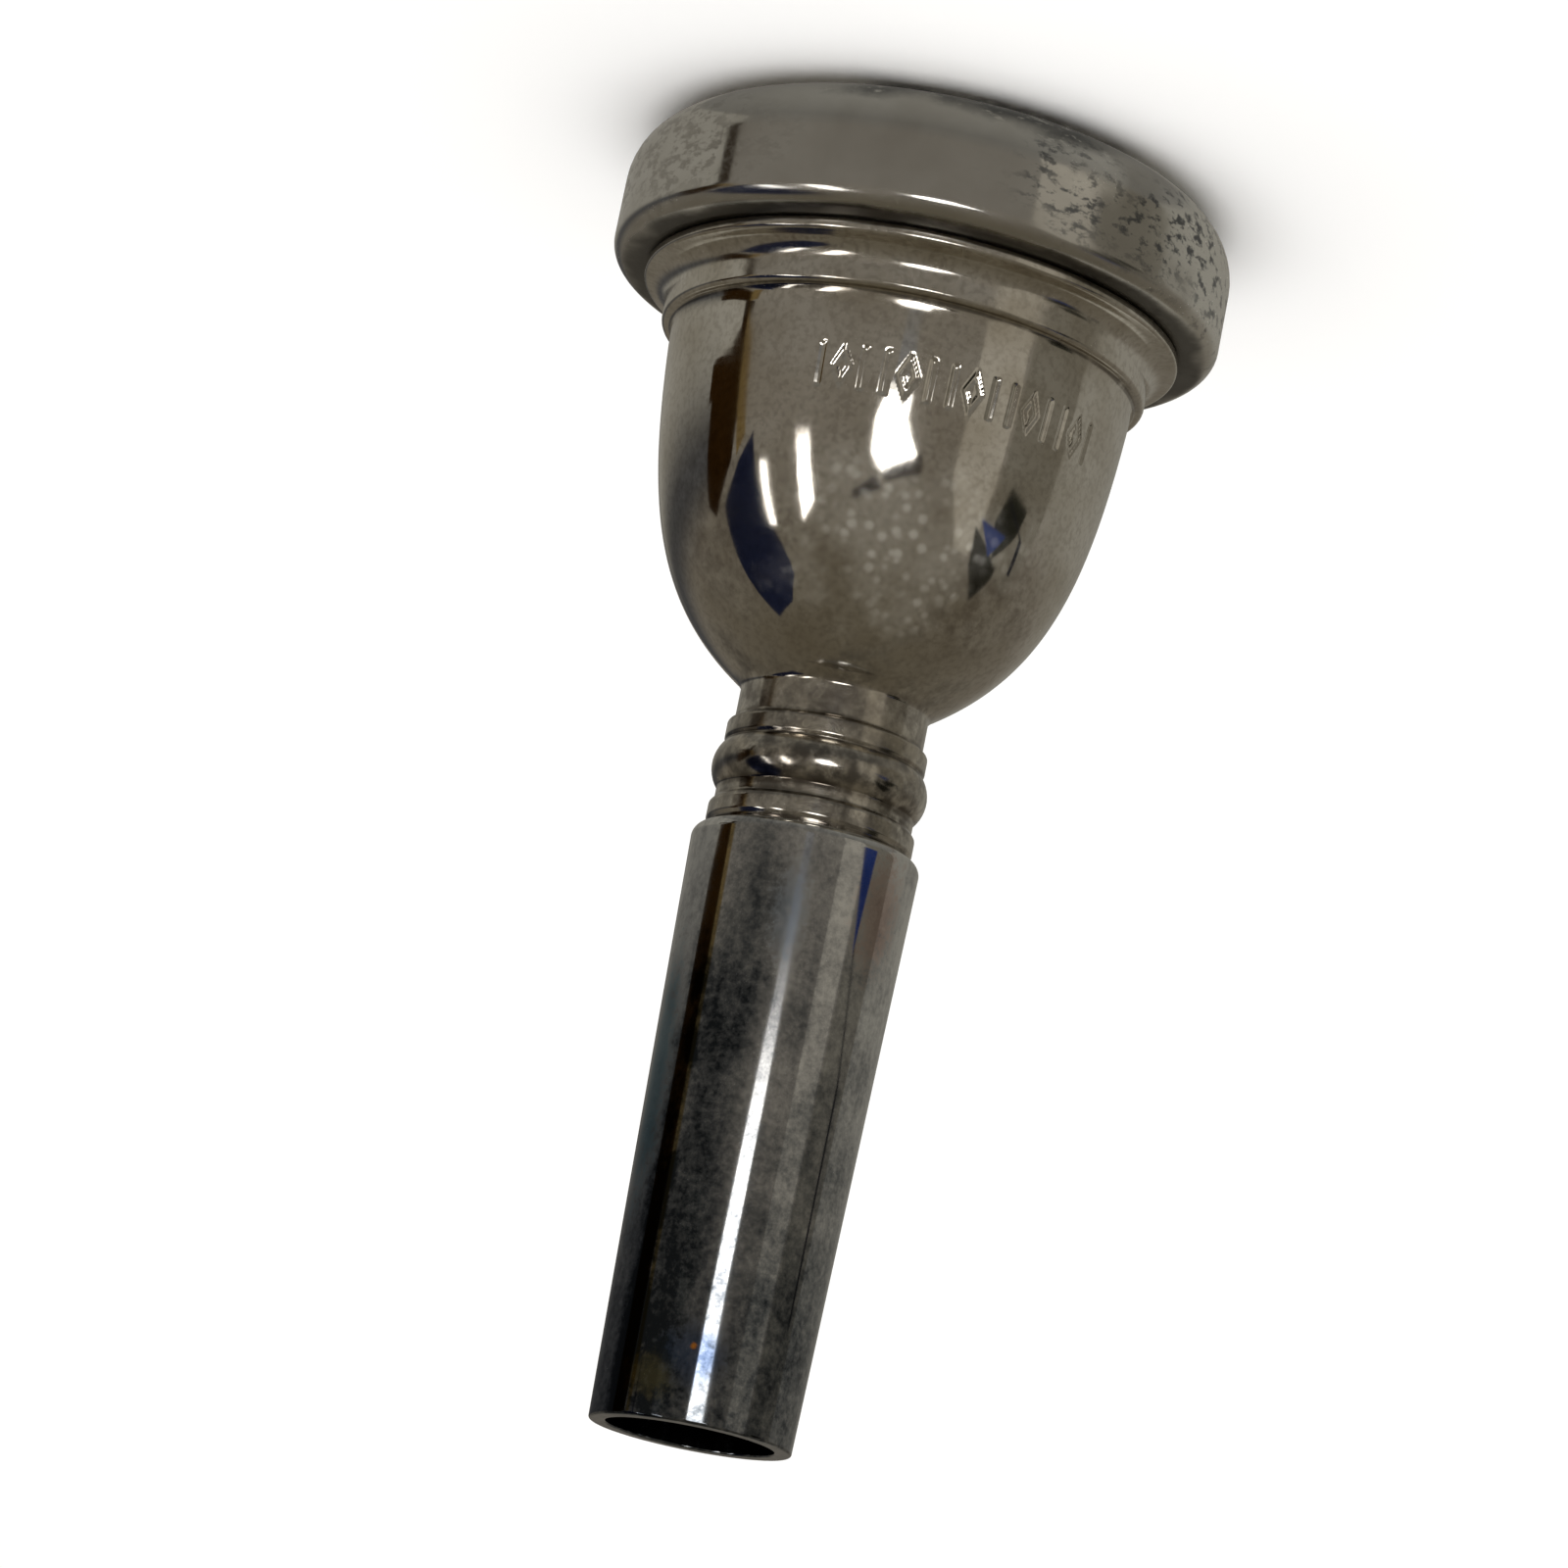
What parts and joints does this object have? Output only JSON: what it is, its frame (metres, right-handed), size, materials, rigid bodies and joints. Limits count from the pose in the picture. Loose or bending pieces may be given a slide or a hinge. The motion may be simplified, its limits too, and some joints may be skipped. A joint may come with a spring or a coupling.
{
  "type": "brass mouthpiece",
  "caption": "Cup mouthpiece with a rounded screw-on rim, a flanged bowl-shaped cup on a beaded neck, and a plain tapered tubular shank, silver plated.",
  "frame": {"origin": "centre of the rim's playing face, where the mouthpiece stands on a table", "axes": "+Z along the axis from the playing face to the shank's end; X and Y are any two directions across it"},
  "size_m": [0.0388, 0.0388, 0.0815],
  "materials": {
    "rim_plating": "turned and polished brass, silver plated, speckled with tarnish",
    "cup_plating": "turned and polished brass, silver plated, lightly tarnished",
    "shank_plating": "turned and polished brass, silver plated, darkly tarnished"
  },
  "bodies": {
    "rim": {"rim": "rim_plating"},
    "cup": {"cup": "cup_plating"},
    "shank": {"shank": "shank_plating"}
  },
  "joints": [
    {"name": "cup_slide", "type": "slide", "parent": "rim", "child": "cup", "axis": [0, 0, 1], "range_m": [0, 0.02]},
    {"name": "shank_slide", "type": "slide", "parent": "cup", "child": "shank", "axis": [0, 0, 1], "range_m": [0, 0.025]}
  ]
}
